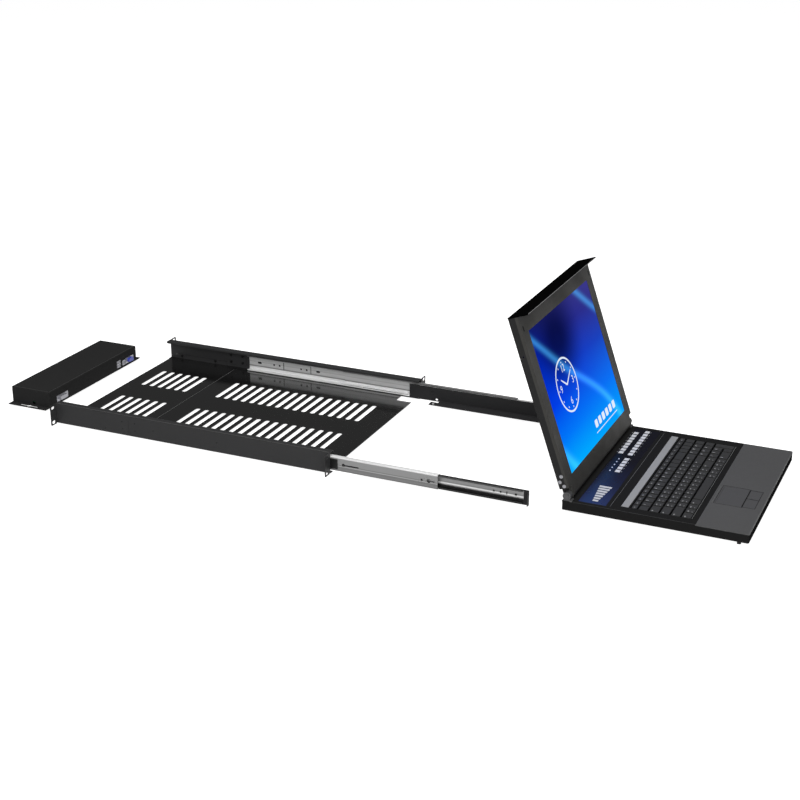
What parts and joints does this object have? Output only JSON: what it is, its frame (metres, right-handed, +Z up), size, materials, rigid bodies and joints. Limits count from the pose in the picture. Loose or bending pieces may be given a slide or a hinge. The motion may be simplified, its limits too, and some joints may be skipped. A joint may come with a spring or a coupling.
{
  "type": "rackmount lcd console drawer",
  "caption": "Slide-out 1U rack console: vented chassis on telescopic ball slides, keyboard base with touchpad, tilt-up display lid and a plug-on rear switch module.",
  "frame": {"origin": "centre of the front ears' hole pattern, on the ears' front face", "axes": "+X across the rack to the user's right, +Y into the rack, +Z up"},
  "size_m": [0.4826, 1.5795, 0.3682],
  "materials": {
    "tray_black": "gloss black",
    "rail_black": "satin black",
    "slide_zinc": "zinc plated",
    "cage_black": "satin",
    "fastener_steel": "zinc plated",
    "fastener_black": "blackened",
    "carrier_black": "satin black",
    "base_black": "satin black",
    "palm_grey": "fine texture",
    "lid_grey": "powder coated dark grey",
    "bezel_grey": "fine texture",
    "front_black": "gloss black",
    "key_black": "satin",
    "key_tray_black": "matt",
    "strip_grey": "satin",
    "panel_navy": "gloss",
    "button_white": "satin",
    "lamp_lens": "translucent",
    "touch_grey": "fine texture",
    "screen_glass": "polished",
    "bumper_rubber": "matt",
    "board_green": "satin",
    "module_black": "satin black",
    "socket_metal": "nickel plated",
    "vga_blue": "gloss"
  },
  "bodies": {
    "chassis": {"front_tray": "tray_black", "rear_tray": "tray_black", "left_front_rail": "rail_black", "right_front_rail": "rail_black", "left_rear_rail": "rail_black", "right_rear_rail": "rail_black", "splice_plates": "rail_black", "chassis_screws": "fastener_black", "left_slide_outer": "slide_zinc", "right_slide_outer": "slide_zinc"},
    "left_carriage": {"left_slide_inner": "slide_zinc", "left_carrier": "carrier_black", "left_carrier_screws": "fastener_black"},
    "left_middle": {"left_slide_middle": "slide_zinc"},
    "left_outer_cage": {"left_outer_ball_cage": "cage_black"},
    "left_inner_cage": {"left_inner_ball_cage": "cage_black"},
    "right_carriage": {"right_slide_inner": "slide_zinc", "right_carrier": "carrier_black", "right_carrier_screws": "fastener_black"},
    "right_middle": {"right_slide_middle": "slide_zinc"},
    "right_outer_cage": {"right_outer_ball_cage": "cage_black"},
    "right_inner_cage": {"right_inner_ball_cage": "cage_black"},
    "console": {"base_pan": "base_black", "console_board": "board_green", "top_deck": "base_black", "accent_strip": "strip_grey", "palm_rest": "palm_grey", "touchpad": "touch_grey", "stop_pins": "fastener_black", "control_panel": "panel_navy", "port_lamps": "lamp_lens", "keyboard_tray": "key_tray_black", "hinge_brackets": "base_black"},
    "lid": {"lid_shell": "lid_grey", "lid_bezel": "bezel_grey", "lcd_panel": "screen_glass", "driver_board": "board_green", "front_panel": "front_black", "hinge_pins": "fastener_black", "hinge_screws": "fastener_steel", "bumpers": "bumper_rubber"},
    "function_keys_body": {"function_keys": "key_black"},
    "number_keys_body": {"number_keys": "key_black"},
    "upper_letter_keys_body": {"upper_letter_keys": "key_black"},
    "home_row_keys_body": {"home_row_keys": "key_black"},
    "lower_letter_keys_body": {"lower_letter_keys": "key_black"},
    "bottom_row_keys_body": {"bottom_row_keys": "key_black"},
    "space_bar_body": {"space_bar": "key_black"},
    "number_pad_keys_body": {"number_pad_keys": "key_black"},
    "rear_port_buttons_body": {"rear_port_buttons": "button_white"},
    "front_port_buttons_body": {"front_port_buttons": "button_white"},
    "menu_buttons_body": {"menu_buttons": "button_white"},
    "left_touch_button_body": {"left_touch_button": "touch_grey"},
    "right_touch_button_body": {"right_touch_button": "touch_grey"},
    "rear_module": {"module_base_plate": "module_black", "module_board": "board_green", "module_cover": "module_black", "module_sockets": "socket_metal", "vga_socket": "vga_blue"}
  },
  "joints": [
    {"name": "drawer_slide", "type": "slide", "parent": "chassis", "child": "left_carriage", "axis": [0, 1, 0], "range_m": [0, 0.398]},
    {"name": "right_drawer_slide", "type": "slide", "parent": "chassis", "child": "right_carriage", "axis": [0, 1, 0], "range_m": [0, 0.398]},
    {"name": "left_middle_slide", "type": "slide", "parent": "chassis", "child": "left_middle", "axis": [0, 1, 0], "range_m": [0, 0.2388]},
    {"name": "left_outer_cage_roll", "type": "slide", "parent": "chassis", "child": "left_outer_cage", "axis": [0, 1, 0], "range_m": [0, 0.1194]},
    {"name": "left_inner_cage_roll", "type": "slide", "parent": "chassis", "child": "left_inner_cage", "axis": [0, 1, 0], "range_m": [0, 0.3184]},
    {"name": "right_middle_slide", "type": "slide", "parent": "chassis", "child": "right_middle", "axis": [0, 1, 0], "range_m": [0, 0.2388]},
    {"name": "right_outer_cage_roll", "type": "slide", "parent": "chassis", "child": "right_outer_cage", "axis": [0, 1, 0], "range_m": [0, 0.1194]},
    {"name": "right_inner_cage_roll", "type": "slide", "parent": "chassis", "child": "right_inner_cage", "axis": [0, 1, 0], "range_m": [0, 0.3184]},
    {"name": "console_dock", "type": "slide", "parent": "left_carriage", "child": "console", "axis": [0, 1, 0], "range_m": [0, 0.39]},
    {"name": "lid_hinge", "type": "hinge", "parent": "console", "child": "lid", "pos_m": [0, -0.4646, 0.00945], "axis": [1, 0, 0], "range_deg": [-10.7, 109.3]},
    {"name": "function_keys_press", "type": "slide", "parent": "console", "child": "function_keys_body", "axis": [0, 0, -1], "range_m": [0, 0.0012], "stiffness_N_per_m": 600, "springref_m": -0.0008},
    {"name": "number_keys_press", "type": "slide", "parent": "console", "child": "number_keys_body", "axis": [0, 0, -1], "range_m": [0, 0.0012], "stiffness_N_per_m": 600, "springref_m": -0.0008},
    {"name": "upper_letter_keys_press", "type": "slide", "parent": "console", "child": "upper_letter_keys_body", "axis": [0, 0, -1], "range_m": [0, 0.0012], "stiffness_N_per_m": 600, "springref_m": -0.0008},
    {"name": "home_row_keys_press", "type": "slide", "parent": "console", "child": "home_row_keys_body", "axis": [0, 0, -1], "range_m": [0, 0.0012], "stiffness_N_per_m": 600, "springref_m": -0.0008},
    {"name": "lower_letter_keys_press", "type": "slide", "parent": "console", "child": "lower_letter_keys_body", "axis": [0, 0, -1], "range_m": [0, 0.0012], "stiffness_N_per_m": 600, "springref_m": -0.0008},
    {"name": "bottom_row_keys_press", "type": "slide", "parent": "console", "child": "bottom_row_keys_body", "axis": [0, 0, -1], "range_m": [0, 0.0012], "stiffness_N_per_m": 600, "springref_m": -0.0008},
    {"name": "space_bar_press", "type": "slide", "parent": "console", "child": "space_bar_body", "axis": [0, 0, -1], "range_m": [0, 0.0012], "stiffness_N_per_m": 600, "springref_m": -0.0008},
    {"name": "number_pad_keys_press", "type": "slide", "parent": "console", "child": "number_pad_keys_body", "axis": [0, 0, -1], "range_m": [0, 0.0012], "stiffness_N_per_m": 600, "springref_m": -0.0008},
    {"name": "rear_port_buttons_press", "type": "slide", "parent": "console", "child": "rear_port_buttons_body", "axis": [0, 0, -1], "range_m": [0, 0.001], "stiffness_N_per_m": 400, "springref_m": -0.0006},
    {"name": "front_port_buttons_press", "type": "slide", "parent": "console", "child": "front_port_buttons_body", "axis": [0, 0, -1], "range_m": [0, 0.001], "stiffness_N_per_m": 400, "springref_m": -0.0006},
    {"name": "menu_buttons_press", "type": "slide", "parent": "console", "child": "menu_buttons_body", "axis": [0, 0, -1], "range_m": [0, 0.001], "stiffness_N_per_m": 400, "springref_m": -0.0006},
    {"name": "left_touch_button_press", "type": "slide", "parent": "console", "child": "left_touch_button_body", "axis": [0, 0, -1], "range_m": [0, 0.0006], "stiffness_N_per_m": 300, "springref_m": -0.0005},
    {"name": "right_touch_button_press", "type": "slide", "parent": "console", "child": "right_touch_button_body", "axis": [0, 0, -1], "range_m": [0, 0.0006], "stiffness_N_per_m": 300, "springref_m": -0.0005},
    {"name": "module_dock", "type": "slide", "parent": "chassis", "child": "rear_module", "axis": [0, -1, 0], "range_m": [0, 0.161]}
  ],
  "couplings": [
    {"joint": "right_drawer_slide", "follows": "drawer_slide", "ratio": 1},
    {"joint": "left_middle_slide", "follows": "drawer_slide", "ratio": 0.6},
    {"joint": "left_outer_cage_roll", "follows": "drawer_slide", "ratio": 0.3},
    {"joint": "left_inner_cage_roll", "follows": "drawer_slide", "ratio": 0.8},
    {"joint": "right_middle_slide", "follows": "drawer_slide", "ratio": 0.6},
    {"joint": "right_outer_cage_roll", "follows": "drawer_slide", "ratio": 0.3},
    {"joint": "right_inner_cage_roll", "follows": "drawer_slide", "ratio": 0.8}
  ]
}
